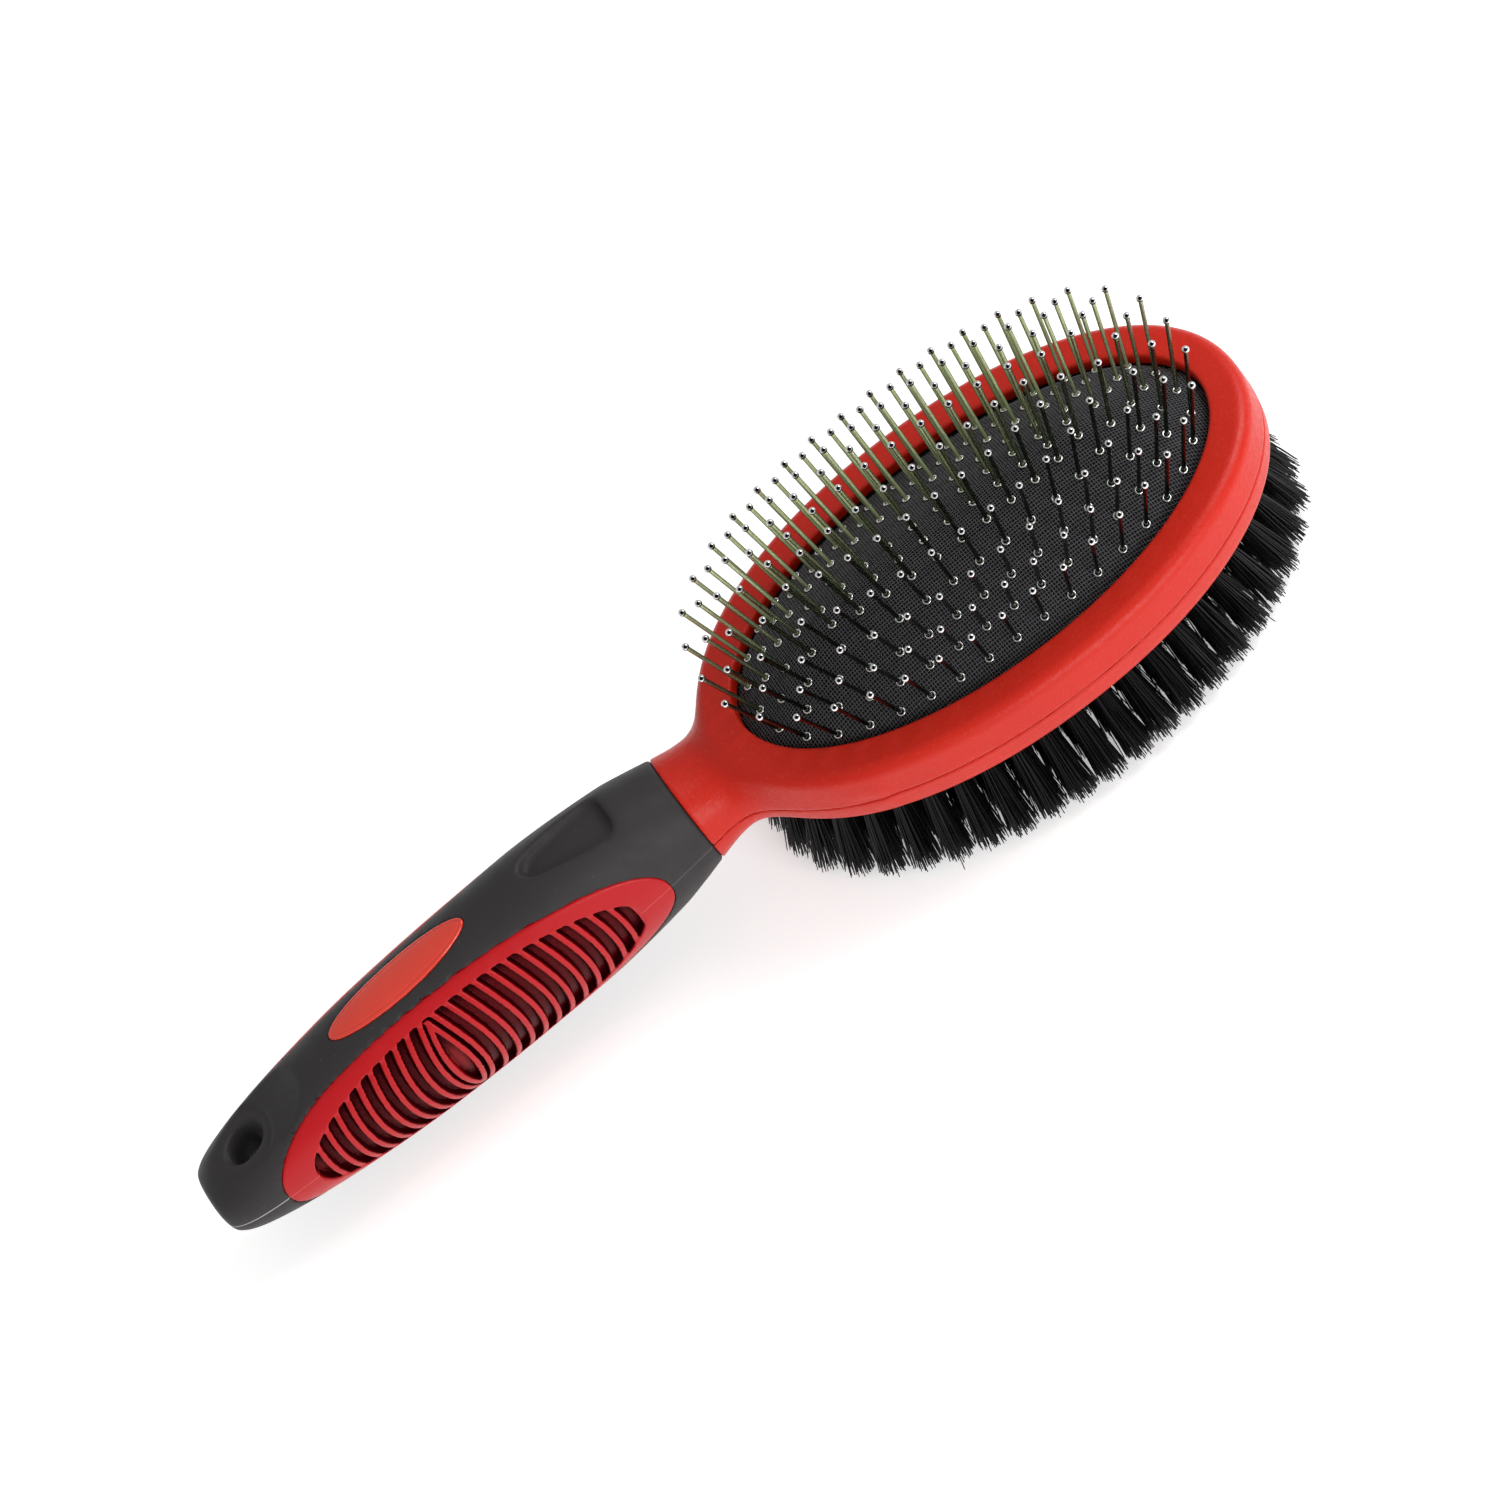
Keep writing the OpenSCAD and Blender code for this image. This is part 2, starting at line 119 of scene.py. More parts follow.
# Half width and half height of the grip, then half width, half height and middle of the neck.
grip_w = curve(
    [(-180, 5.8), (-179.2, 6.8), (-177, 8.1), (-173, 9.2), (-166, 10.1), (-155, 10.9), (-140, 11.6),
     (-125, 12.2), (-110, 12.4), (-95, 12.2), (-79, 11.5), (-73, 11), (-68.1, 10.6)]
)
grip_h = curve(
    [(-180, 4.6), (-179.2, 5.5), (-177, 6.9), (-173, 8.5), (-166, 10.9), (-155, 13.6), (-140, 16),
     (-125, 16.8), (-110, 17), (-95, 16.9), (-79, 14.8), (-73, 12.9), (-68.1, 10.8)]
)
neck_w = curve([(-72, 11.2), (-68.1, 10.6), (-62, 10.2), (-57, 11.4), (-52, 14.6), (-44, 21), (-38, 25)])
neck_h = curve([(-72, 12.4), (-68.1, 10.8), (-62, 8.7), (-57, 7.6), (-50, 6.4), (-44, 5.2), (-38, 4)])
neck_z = curve(
    [(-72, centre_z(-72)), (-68.1, centre_z(-68.1)), (-57, -0.9), (-50, 0.3), (-44, 0.4), (-38, 0.4)]
)


# ---------------------------------------------------------------- signed distance fields
def smin(a, b, k):
    """The lower of two fields, rounded over a width k where they meet."""
    h = np.clip(0.5 + 0.5 * (b - a) / k, 0, 1)
    return b * (1 - h) + a * h - k * h * (1 - h)


def smax(a, b, k):
    return -smin(-a, -b, k)


def soft(edge0, edge1, v):
    """0 at edge0, 1 at edge1 and an S-shaped rise between them."""
    t = np.clip((v - edge0) / (edge1 - edge0), 0, 1)
    return t * t * (3 - 2 * t)


def super_d(u, v, a, b, n):
    """Near-distance to a superellipse outline, negative inside."""
    pu, pv = np.abs(u / a), np.abs(v / b)
    g = (pu**n + pv**n + 1e-12) ** (1 / n)
    gu = g ** (1 - n) * pu ** (n - 1) / a
    gv = g ** (1 - n) * pv ** (n - 1) / b
    return (g - 1) / np.sqrt(gu * gu + gv * gv + 1e-12)


def oval_d(x, y, b):
    return super_d(x, y, b + LEAD, b, 2)


# Head and neck. Pairs hold a value for the pin side and one for the bristle side.
EDGE_ROUND, DRAFT = (2.3, 3.3), (0.07, -0.05)
RIM_FALL, RIM_START, RIM_REACH = 0.007, 3.0, 9
NECK_BLEND, NECK_END_X = 4.5, -40.0
TONGUE_HALF_W, TONGUE_HALF_H, TONGUE_X = 6.3, 4.1, -57.4


def parting_z(x):
    """Height of the seam between the two half shells."""
    return np.where(x < DROOP_X, centre_z(x), 0.0)


def head_field(x, y, z):
    """Oval block with rounded edges and drafted sides, whose rim falls away towards the opening."""
    inset = -super_d(x, y, HEAD_A, HEAD_B, HEAD_N)
    up = z > 0
    r = np.where(up, *EDGE_ROUND)
    draft = np.where(up, *DRAFT) * z
    dip = np.where(up, RIM_FALL * np.clip(inset - RIM_START, 0, RIM_REACH) ** 2, 0.0)
    side = r - (inset - draft)
    face = np.where(up, z - (RIM_Z + 0.05 - dip), BASE_Z - z) + r
    out = np.hypot(np.maximum(side, 0), np.maximum(face, 0))
    return out + np.minimum(np.maximum(side, face), 0) - r


def neck_field(x, y, z):
    d = super_d(y, z - neck_z(x), neck_w(x), neck_h(x), GRIP_N)
    return smax(d, x - NECK_END_X, 2.0)


def tongue_field(x, y, z):
    """Room in the neck for the tongue of the handle's core."""
    section = np.maximum(np.abs(y) - TONGUE_HALF_W, np.abs(z - centre_z(x)) - TONGUE_HALF_H)
    return np.maximum(section, x - TONGUE_X)


def half_shell_field(x, y, z, opening, past_ledge, past_seam):
    """Half of the head and neck, with an opening, a wider cavity behind it and the tongue's room."""
    f = smin(head_field(x, y, z), neck_field(x, y, z), NECK_BLEND)
    f = smax(f, -opening, 0.8)
    f = smax(f, -np.maximum(oval_d(x, y, CAVITY_B), past_ledge), 0.3)
    f = smax(f, past_seam, 0.35)
    f = np.maximum(f, -tongue_field(x, y, z))
    return smax(f, JOINT_X - x, 0.5)


def pin_shell_field(x, y, z):
    opening = super_d(x, y, OPEN_B + OPEN_LEAD, OPEN_B, 2)
    return half_shell_field(x, y, z, opening, z - LIP_Z, parting_z(x) + SEAM_GAP - z)


def bristle_shell_field(x, y, z):
    opening = oval_d(x, y, BRISTLE_OPEN_B)
    return half_shell_field(x, y, z, opening, LEDGE_Z - z, z + SEAM_GAP - parting_z(x))


# Handle. A seat is how deep a piece's pocket goes in from the grip's outer surface, and a depth is
# how deep the piece itself goes.
INSERT_X, INSERT_L, INSERT_H, INSERT_N = -123.0, 89.0, 29.0, 2.3
INSERT_SEAT, INSERT_DEPTH = 2.5, 2.6
BADGE_X, BADGE_L, BADGE_W = -127.4, 32.0, 8.0
BADGE_SEAT, BADGE_DEPTH, BADGE_PROUD = 1.3, 1.18, 0.22
BORDER_IN, BORDER_CUT = 0.75, 0.16
FIT = 0.07
HOLE_X, HOLE_R = -168.5, 3.4
LANDING_R, LANDING_Z, LANDING_TILT = 7.2, -0.8, 0.22
FACET_X, FACET_Z, FACET_RUN = -153.0, 5.5, 12.0
MOUTH_STRETCH, MOUTH_FLARE, MOUTH_Z, MOUTH_LOW_Z = 0.78, 0.4, -1.2, -2.4
CORE_DEPTH, CORE_END_X = 3.4, -159.1
THUMB_X, THUMB_HALF_W, THUMB_TIP_X = -79.3, 5.0, -98.6
THUMB_FLOOR, THUMB_FLOOR_X, THUMB_SLOPE, THUMB_FLARE = 13.9, -88.0, 0.12, 0.45


def grip_d(x, y, z):
    return super_d(y, z - centre_z(x), grip_w(x), grip_h(x), GRIP_N)


def window_d(x, z, grow=0.0):
    """Outline of a side insert, seen from the side."""
    return super_d(x - INSERT_X, z - centre_z(x), INSERT_L / 2 + grow, INSERT_H / 2 + grow, INSERT_N)


def badge_d(x, y, grow=0.0):
    return super_d(x - BADGE_X, y, BADGE_L / 2 + grow, BADGE_W / 2 + grow, 2)


def thumb_d(x, y):
    """Outline of the thumb recess from above: widest at its head end, narrowing to the tail."""
    half = THUMB_HALF_W - 0.0075 * (x - THUMB_X) ** 2
    return smax(smax(np.abs(y) - half, THUMB_TIP_X - x, 3.0), x - THUMB_X, 3.4)


def hang_d(x, y, z):
    """Tail facet: a slope down to a round landing, and the hang hole with its long mouth."""
    u = np.minimum(x - FACET_X, FACET_RUN)
    slope = FACET_Z + 0.75 * u + 0.031 * u * u
    landing = LANDING_Z + LANDING_TILT * (x - HOLE_X)
    near = np.hypot(x - HOLE_X, y) - LANDING_R
    level = np.where(x < HOLE_X, landing, slope + (landing - slope) * soft(0.5, -0.5, near))
    hole = np.hypot(x - HOLE_X, y) - HOLE_R
    mouth = np.hypot((x - HOLE_X) * MOUTH_STRETCH, y) - HOLE_R - 0.1 - MOUTH_FLARE * (z - MOUTH_Z)
    return (z - level) * 0.9, -smin(hole, np.maximum(mouth, MOUTH_LOW_Z - z), 0.4)


def sleeve_field(x, y, z):
    """Grip with its tail facet and hole, and room for the core, the inserts, the badge and a thumb."""
    d = grip_d(x, y, z)
    f = smax(d, TAIL_X + 0.1 - x, 1.2)
    facet, hole = hang_d(x, y, z)
    f = smax(smax(f, facet, 0.35), hole, 0.5)
    f = np.maximum(f, -np.maximum(d + CORE_DEPTH, CORE_END_X - x))
    f = smax(f, -np.maximum(window_d(x, z, FIT), -(d + INSERT_SEAT)), 0.3)
    above = z - centre_z(x)
    f = smax(f, -np.maximum(np.maximum(badge_d(x, y, FIT), -(d + BADGE_SEAT)), -above), 0.25)
    floor = z - (centre_z(x) + THUMB_FLOOR - THUMB_SLOPE * (x - THUMB_FLOOR_X))
    f = smax(f, -smax(thumb_d(x, y) + THUMB_FLARE * np.maximum(-d, 0), -floor, 0.8), 0.6)
    return smax(f, x - (JOINT_X - 0.1), 0.7)


# Ribs of the side inserts: arcs that bow away from a leaf shape in the middle of a sunk pocket.
LEAF_X, LEAF_HALF, RIB_TAIL, RIB_HEAD, BOW_R = -127.5, 2.0, 2.95, 3.15, 34.0
POCKET_L, POCKET_H, POCKET_N, GROOVE, CREST = 75.6, 25.4, 2.15, 1.75, 0.22
FAR_AWAY = 9.0
leaf_ribs = [(LEAF_X - LEAF_HALF, -1), (LEAF_X + LEAF_HALF, 1)]
plain_ribs = [(LEAF_X - 0.75 - RIB_TAIL * i, -1) for i in range(1, 11)]
plain_ribs += [(LEAF_X + 0.75 + RIB_HEAD * i, 1) for i in range(1, 14)]


def rib_distance(x, z):
    """Distance to the nearest rib's middle line; a leaf rib counts only on its own side of the leaf."""
    near = np.full(np.broadcast(x, z).shape, FAR_AWAY)
    for rib_x, side in plain_ribs + leaf_ribs:
        rise = np.clip(z - centre_z(rib_x), -16, 16)
        line = rib_x - side * (BOW_R - np.sqrt(BOW_R**2 - rise * rise))
        dist = np.abs(x - line) * np.sqrt(1 - (rise / BOW_R) ** 2)
        if (rib_x, side) in leaf_ribs:
            dist = np.where(side * (line - LEAF_X) < -0.2, FAR_AWAY, dist)
        near = np.minimum(near, dist)
    return near


def groove_depth(x, z):
    """How far the ribbed pocket lies below the grip's surface at (x, z)."""
    rib = 1 - soft(0.46, 0.86, rib_distance(x, z))
    pocket = super_d(x - INSERT_X, z - centre_z(x), POCKET_L / 2, POCKET_H / 2, POCKET_N)
    inside = 1 - soft(-0.75, 0.1, pocket)
    return inside * (1 - rib) * GROOVE + CREST * inside * rib


def insert_field(x, y, z):
    d = grip_d(x, y, z)
    f = np.maximum((d + 0.02 + groove_depth(x, z)) * 0.8, -(d + INSERT_DEPTH))
    f = smax(f, window_d(x, z), 0.35)
    return np.maximum(f, 1.0 - y)


def badge_field(x, y, z):
    """Plain oval badge with a thin border line cut into its face."""
    d = grip_d(x, y, z)
    edge = badge_d(x, y)
    border = BORDER_CUT * np.exp(-(((edge + BORDER_IN) / BORDER_CUT) ** 2))
    f = smax(d - BADGE_PROUD + border, edge, 0.35)
    return np.maximum(np.maximum(f, -(d + BADGE_DEPTH)), 2.0 - (z - centre_z(x)))


# ---------------------------------------------------------------- meshing
CORNERS = [(a, b, c) for a in (0, 1) for b in (0, 1) for c in (0, 1)]
SLAB = 24
SLOPE_STEP = 0.02


def make_object(name, mesh, material, body=BRUSH, sharp=None):
    """One smooth piece from a mesh of points and quads, with creases over `sharp` degrees."""
    verts, quads = mesh
    me = bpy.data.meshes.new(name)
    me.vertices.add(len(verts))
    me.vertices.foreach_set("co", (verts * MM).astype(np.float32).ravel())
    me.loops.add(quads.size)
    me.loops.foreach_set("vertex_index", quads.astype(np.int32).ravel())
    me.polygons.add(len(quads))
    me.polygons.foreach_set("loop_start", np.arange(0, quads.size, 4, dtype=np.int32))
    me.polygons.foreach_set("loop_total", np.full(len(quads), 4, np.int32))
    me.update(calc_edges=True)
    me.validate()
    me.materials.append(material)
    o = bpy.data.objects.new(name, me)
    bpy.context.scene.collection.objects.link(o)
    o.location = HEAD
    me.polygons.foreach_set("use_smooth", np.ones(len(me.polygons), bool))
    if sharp:
        me.set_sharp_from_angle(angle=math.radians(sharp))
    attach(o, body)
    return o


def sample(field, axes):
    """Field values over a grid, worked out slab by slab to save memory."""
    f = np.empty([len(a) for a in axes], np.float32)
    y, z = np.meshgrid(axes[1], axes[2], indexing="ij")
    for i in range(0, len(axes[0]), SLAB):
        x = axes[0][i : i + SLAB]
        f[i : i + SLAB] = field(x[:, None, None], y[None], z[None])
    return f


def crossed_cells(inside):
    """Grid cells that the surface passes through, as (n, 3) indices."""
    nx, ny, nz = inside.shape
    count = np.zeros((nx - 1, ny - 1, nz - 1), np.int8)
    for a, b, c in CORNERS:
        count += inside[a : nx - 1 + a, b : ny - 1 + b, c : nz - 1 + c]
    return np.argwhere((count > 0) & (count < 8))


def cell_points(f, cells):
    """One point per cell, in grid steps: the mean of the places where its edges cross zero."""
    value = {k: f[cells[:, 0] + k[0], cells[:, 1] + k[1], cells[:, 2] + k[2]] for k in CORNERS}
    total = np.zeros((len(cells), 3))
    hits = np.zeros(len(cells))
    for low in CORNERS:
        for axis in range(3):
            if low[axis]:
                continue
            high = tuple(1 if k == axis else low[k] for k in range(3))
            a, b = value[low], value[high]
            cross = (a < 0) != (b < 0)
            t = np.where(cross, a / np.where(cross, a - b, 1), 0)
            point = np.array(low, float) + t[:, None] * np.eye(3)[axis]
            total += np.where(cross[:, None], point, 0)
            hits += cross
    return cells + total / hits[:, None]


def cell_quads(inside, cells):
    """A quad for each grid edge that the surface crosses, through the four cells round that edge."""
    index = np.full([n - 1 for n in inside.shape], -1, np.int32)
    index[tuple(cells.T)] = np.arange(len(cells))
    quads = []
    for axis in range(3):
        u, v = [k for k in range(3) if k != axis]
        before, after = [slice(None)] * 3, [slice(None)] * 3
        before[axis], after[axis] = slice(0, -1), slice(1, None)
        a, b = inside[tuple(before)], inside[tuple(after)]
        edge = np.argwhere(a != b)
        ok = (edge[:, u] > 0) & (edge[:, v] > 0)
        ok &= (edge[:, u] < inside.shape[u] - 1) & (edge[:, v] < inside.shape[v] - 1)
        edge = edge[ok]
        ring = []
        for du, dv in ((1, 1), (0, 1), (0, 0), (1, 0)):
            cell = edge.copy()
            cell[:, u] -= du
            cell[:, v] -= dv
            ring.append(index[tuple(cell.T)])
        quad = np.stack(ring, 1)
        turn = a[tuple(edge.T)] == (axis == 1)
        quad[turn] = quad[turn][:, ::-1]
        quads.append(quad)
    return np.concatenate(quads)


def settle(field, pts, step):
    """Pulls points onto the surface along the field's slope, in three short moves."""
    for _ in range(3):
        slope = []
        for shift in np.eye(3) * SLOPE_STEP:
            slope.append(field(*(pts + shift).T) - field(*(pts - shift).T))
        grad = np.stack(slope, 1) / (2 * SLOPE_STEP)
        steepness = np.maximum((grad**2).sum(1), 0.05)
        move = -(field(*pts.T) / steepness)[:, None] * grad
        length = np.linalg.norm(move, axis=1, keepdims=True)
        pts = pts + move * np.minimum(1, 0.4 * step / np.maximum(length, 1e-9))
    return pts


def surface(field, lo, hi, step):
    """Even quad mesh of field == 0 inside the box lo..hi, as points and quads."""
    step = step * COARSER
    axes = [np.arange(lo[k] - step, hi[k] + 2 * step, step) for k in range(3)]
    f = sample(field, axes)
    inside = f < 0
    cells = crossed_cells(inside)
    pts = np.array([a[0] for a in axes]) + cell_points(f, cells) * step
    return settle(field, pts, step), cell_quads(inside, cells)


def tube_quads(rings, sides):
    """Quads between successive rings of `sides` points each."""
    i = np.arange(rings - 1)[:, None] * sides
    j = np.arange(sides)[None]
    k = (j + 1) % sides
    return np.stack([i + j, i + k, i + sides + k, i + sides + j], -1).reshape(-1, 4)


def square_tube(rings):
    """Quads of a four-sided tube with closed ends."""
    last = 4 * rings - 4
    ends = [[3, 2, 1, 0], [last, last + 1, last + 2, last + 3]]
    return np.concatenate([tube_quads(rings, 4), ends])


def join(meshes):
    """Several meshes as one."""
    verts, quads, base = [], [], 0
    for v, q in meshes:
        verts.append(v)
        quads.append(q + base)
        base += len(v)
    return np.concatenate(verts), np.concatenate(quads)


# ---------------------------------------------------------------- materials
def srgb(r, g, b):
    """Linear colour of an 8-bit display colour."""
    out = []
    for c in (r, g, b):
        c /= 255
        out.append(c / 12.92 if c <= 0.04045 else ((c + 0.055) / 1.055) ** 2.4)
    return (*out, 1.0)


class Nodes:
    """Small helper that builds one procedural material over object coordinates, which are in metres."""

    def __init__(self, name):
        self.mat = bpy.data.materials.new(name)
        self.mat.use_nodes = True
        self.tree = self.mat.node_tree
        self.tree.nodes.clear()
        self.out = self.tree.nodes.new("ShaderNodeOutputMaterial")
        self.bsdf = self.tree.nodes.new("ShaderNodeBsdfPrincipled")
        self.link(self.bsdf.outputs[0], self.out.inputs[0])
        self.coord = self.tree.nodes.new("ShaderNodeTexCoord").outputs["Object"]
        self.height = None

    def link(self, a, b):
        self.tree.links.new(a, b)

    def put(self, value, socket):
        if isinstance(value, bpy.types.NodeSocket):
            self.link(value, socket)
        else:
            socket.default_value = value

    def set(self, **values):
        for key, value in values.items():
            self.put(value, self.bsdf.inputs[key.replace("_", " ")])

    def stretched(self, along_z):
        """Coordinates in which a pattern is drawn out along z."""
        n = self.tree.nodes.new("ShaderNodeMapping")
        n.inputs["Scale"].default_value = (1, 1, along_z)
        self.link(self.coord, n.inputs[0])
        return n.outputs[0]

    def xyz(self):
        n = self.tree.nodes.new("ShaderNodeSeparateXYZ")
        self.link(self.coord, n.inputs[0])
        return n.outputs

    def noise(self, scale, detail=3.0, rough=0.55, vector=None):
        n = self.tree.nodes.new("ShaderNodeTexNoise")
        self.link(vector or self.coord, n.inputs["Vector"])
        n.inputs["Scale"].default_value = scale
        n.inputs["Detail"].default_value = detail
        n.inputs["Roughness"].default_value = rough
        return n.outputs[0]

    def cells(self, scale):
        n = self.tree.nodes.new("ShaderNodeTexVoronoi")
        self.link(self.coord, n.inputs["Vector"])
        n.inputs["Scale"].default_value = scale
        return n.outputs[0]

    def ramp(self, value, *stops):
        """Value mapped through (position, grey or colour) stops."""
        n = self.tree.nodes.new("ShaderNodeValToRGB")
        e = n.color_ramp.elements
        while len(e) < len(stops):
            e.new(0.5)
        for el, (pos, col) in zip(e, stops):
            el.position = pos
            el.color = col if isinstance(col, tuple) else (col, col, col, 1)
        self.link(value, n.inputs[0])
        return n.outputs[0]

    def math(self, op, a, b=0.0, c=0.0):
        n = self.tree.nodes.new("ShaderNodeMath")
        n.operation = op
        for value, socket in zip((a, b, c), n.inputs):
            self.put(value, socket)
        return n.outputs[0]

    def mix(self, factor, a, b):
        n = self.tree.nodes.new("ShaderNodeMix")
        n.data_type = "RGBA"
        self.put(factor, n.inputs["Factor"])
        self.put(a, n.inputs[6])
        self.put(b, n.inputs[7])
        return n.outputs[2]

    def facing(self):
        """0 where a face looks at the camera, rising towards 1 at grazing angles."""
        return self.tree.nodes.new("ShaderNodeLayerWeight").outputs["Facing"]

    def hollow(self, reach_mm, low, high):
        """1 on open faces, falling towards 0 in grooves and corners narrower than reach_mm; the
        materials paint shade with it.
        """
        n = self.tree.nodes.new("ShaderNodeAmbientOcclusion")
        n.samples = 8
        n.only_local = True
        n.inputs["Distance"].default_value = reach_mm * MM
        return self.ramp(n.outputs["AO"], (low, 0.0), (high, 1.0))

    def mould_line(self, scale, spread_mm, least_mm):
        """1 on an uneven thin line along the handle's centre line, where the mould's halves met."""
        x, _, z = self.xyz()
        centre = self.math("MULTIPLY_ADD", x, DROOP, -DROOP * DROOP_X * MM)
        off = self.math("ABSOLUTE", self.math("SUBTRACT", z, centre))
        width = self.math("MULTIPLY_ADD", self.noise(scale), spread_mm * MM, least_mm * MM)
        return self.math("LESS_THAN", off, width)

    def rough(self, pattern, low, high):
        """Roughness that wavers between low and high with a noise pattern."""
        self.set(Roughness=self.ramp(pattern, (0.3, low), (0.7, high)))

    def scatter(self, weight, scale_mm, radius):
        self.set(Subsurface_Weight=weight, Subsurface_Scale=scale_mm * MM, Subsurface_Radius=radius)

    def bump(self, height, depth_mm, strength=1.0):
        """Adds one layer of relief over those added before."""
        n = self.tree.nodes.new("ShaderNodeBump")
        n.inputs["Strength"].default_value = strength
        n.inputs["Distance"].default_value = depth_mm * MM
        self.link(height, n.inputs["Height"])
        if self.height is not None:
            self.link(self.height, n.inputs["Normal"])
        self.height = n.outputs[0]
        self.link(self.height, self.bsdf.inputs["Normal"])


def red_shell_material():
    m = Nodes("red_shell")
    base = m.mix(m.noise(60), srgb(184, 26, 10), srgb(196, 34, 15))
    fleck = m.ramp(m.noise(1500, 1.5), (0.6, 0.0), (0.78, 1.0))
    tone = m.mix(m.math("MULTIPLY", fleck, 0.16), base, srgb(226, 84, 60))
    # Painted shade: near-black red in the seam groove and tight corners, from the ambient-occlusion
    # mask.
    m.set(Base_Color=m.mix(m.hollow(1.2, 0.25, 0.62), srgb(50, 3, 2), tone), Specular_IOR_Level=0.26)
    m.rough(m.noise(900, 2), 0.32, 0.46)
    m.scatter(0.06, 0.4, (1.0, 0.2, 0.1))
    m.bump(m.noise(1700, 2.5, 0.6), 0.09, 0.9)
    m.bump(m.noise(120, 2), 0.05, 0.35)
    return m.mat


def grip_material():
    """Dark soft-touch rubber with painted shade in its recesses, a dusty fleck and a pale mould line
    that shows most at the tail.
    """
    m = Nodes("grip_rubber")
    cloud = m.mix(m.noise(45, 4), srgb(38, 36, 37), srgb(46, 43, 44))
    # Painted shade: near-black in recesses and corners, from the ambient-occlusion mask.
    base = m.mix(m.hollow(3.2, 0.45, 0.92), srgb(12, 11, 12), cloud)
    tail = m.ramp(m.math("MULTIPLY_ADD", m.xyz()[0], -6.0, -0.3), (0.55, 0.15), (0.7, 1.0))
    flash = m.math("MULTIPLY", m.mould_line(140, 0.2, 0.03), tail)
    dust = m.ramp(m.noise(800, 1), (0.74, 0.0), (0.79, 1.0))
    tone = m.mix(m.math("MULTIPLY", dust, 0.12), base, srgb(112, 106, 104))
    m.set(Base_Color=m.mix(m.math("MULTIPLY", flash, 0.85), tone, srgb(176, 170, 166)))
    m.set(Specular_IOR_Level=0.3, Sheen_Weight=0.04, Sheen_Roughness=0.5)
    m.rough(m.noise(300), 0.52, 0.64)
    m.bump(m.noise(2600, 2), 0.012, 0.8)
    m.bump(flash, 0.12, 0.6)
    return m.mat


def insert_material():
    """Red rubber with painted shade darkening its grooves, which also shine less, with the mould line on
    its plain ends.
    """
    m = Nodes("insert_rubber")
    # Painted shade: near-black red deep in the grooves, with less specular there, from the
    # ambient-occlusion mask.
    crest = m.hollow(2.6, 0.62, 0.9)
    open_tone = m.mix(m.noise(70), srgb(170, 9, 17), srgb(182, 14, 23))
    base = m.mix(crest, srgb(50, 0, 4), open_tone)
    from_middle = m.math("ABSOLUTE", m.math("ADD", m.xyz()[0], -INSERT_X * MM))
    end = m.math("GREATER_THAN", from_middle, 37.2 * MM)
    flash = m.math("MULTIPLY", m.mould_line(160, 0.12, 0.02), end)
    m.set(Base_Color=m.mix(m.math("MULTIPLY", flash, 0.45), base, srgb(232, 120, 110)))
    m.set(Specular_IOR_Level=m.ramp(crest, (0.0, 0.03), (1.0, 0.26)))
    m.rough(m.noise(500), 0.28, 0.4)
    m.scatter(0.02, 0.3, (1.0, 0.12, 0.12))
    m.bump(m.noise(1800, 2), 0.012, 0.8)
    m.bump(flash, 0.12, 0.6)
    return m.mat


def badge_material():
    m = Nodes("badge_gloss")
    m.set(Base_Color=m.mix(m.noise(90, 2), srgb(208, 44, 22), srgb(220, 56, 34)))
    m.set(Coat_Weight=0.6, Coat_Roughness=0.08)
    m.rough(m.noise(400, 2), 0.16, 0.24)
    m.bump(m.noise(220, 2), 0.02, 0.4)
    return m.mat


def rubber_material():
    m = Nodes("cushion_rubber")
    m.set(Base_Color=m.mix(m.noise(130), srgb(4, 4, 5), srgb(10, 10, 11)), Specular_IOR_Level=0.2)
    m.rough(m.noise(700), 0.6, 0.8)
    m.bump(m.noise(1900), 0.02, 0.8)
    return m.mat


def thread_material(name, low, high):
    m = Nodes(name)
    along = m.noise(1100, 3, 0.6)
    m.set(Base_Color=m.mix(m.math("MULTIPLY_ADD", m.noise(24, 2), 0.9, 0.05), low, high))
    m.set(Sheen_Weight=0.2, Sheen_Roughness=0.4)
    m.rough(along, 0.42, 0.62)
    m.bump(along, 0.01, 0.7)
    return m.mat


def steel_material():
    """Drawn steel wire, with a painted pale green-yellow highlight that grows towards the left side of
    the brush, and painted dark edges.
    """
    m = Nodes("pin_steel")
    drawn = m.noise(900, 2, 0.5, m.stretched(0.05))
    left = m.math("MULTIPLY_ADD", m.xyz()[1], 26.0, 0.45)
    # Painted highlight: pale green-yellow colour and less metal on the wires towards the left side of
    # the brush.
    left_highlight = m.mix(m.noise(70, 2), srgb(186, 206, 134), srgb(226, 236, 196))
    steel = m.mix(m.noise(90, 2), srgb(44, 45, 44), srgb(76, 77, 74))
    tint = m.mix(m.ramp(left, (0.15, 0.12), (0.75, 0.85)), steel, left_highlight)
    # Painted shade: wire edges darken to dark green at grazing angles.
    m.set(Base_Color=m.mix(m.ramp(m.facing(), (0.25, 0.0), (0.65, 0.9)), tint, srgb(20, 34, 20)))
    m.set(Metallic=m.ramp(left, (0.3, 1.0), (0.8, 0.6)))
    m.rough(drawn, 0.12, 0.24)
    m.bump(drawn, 0.004, 0.6)
    return m.mat


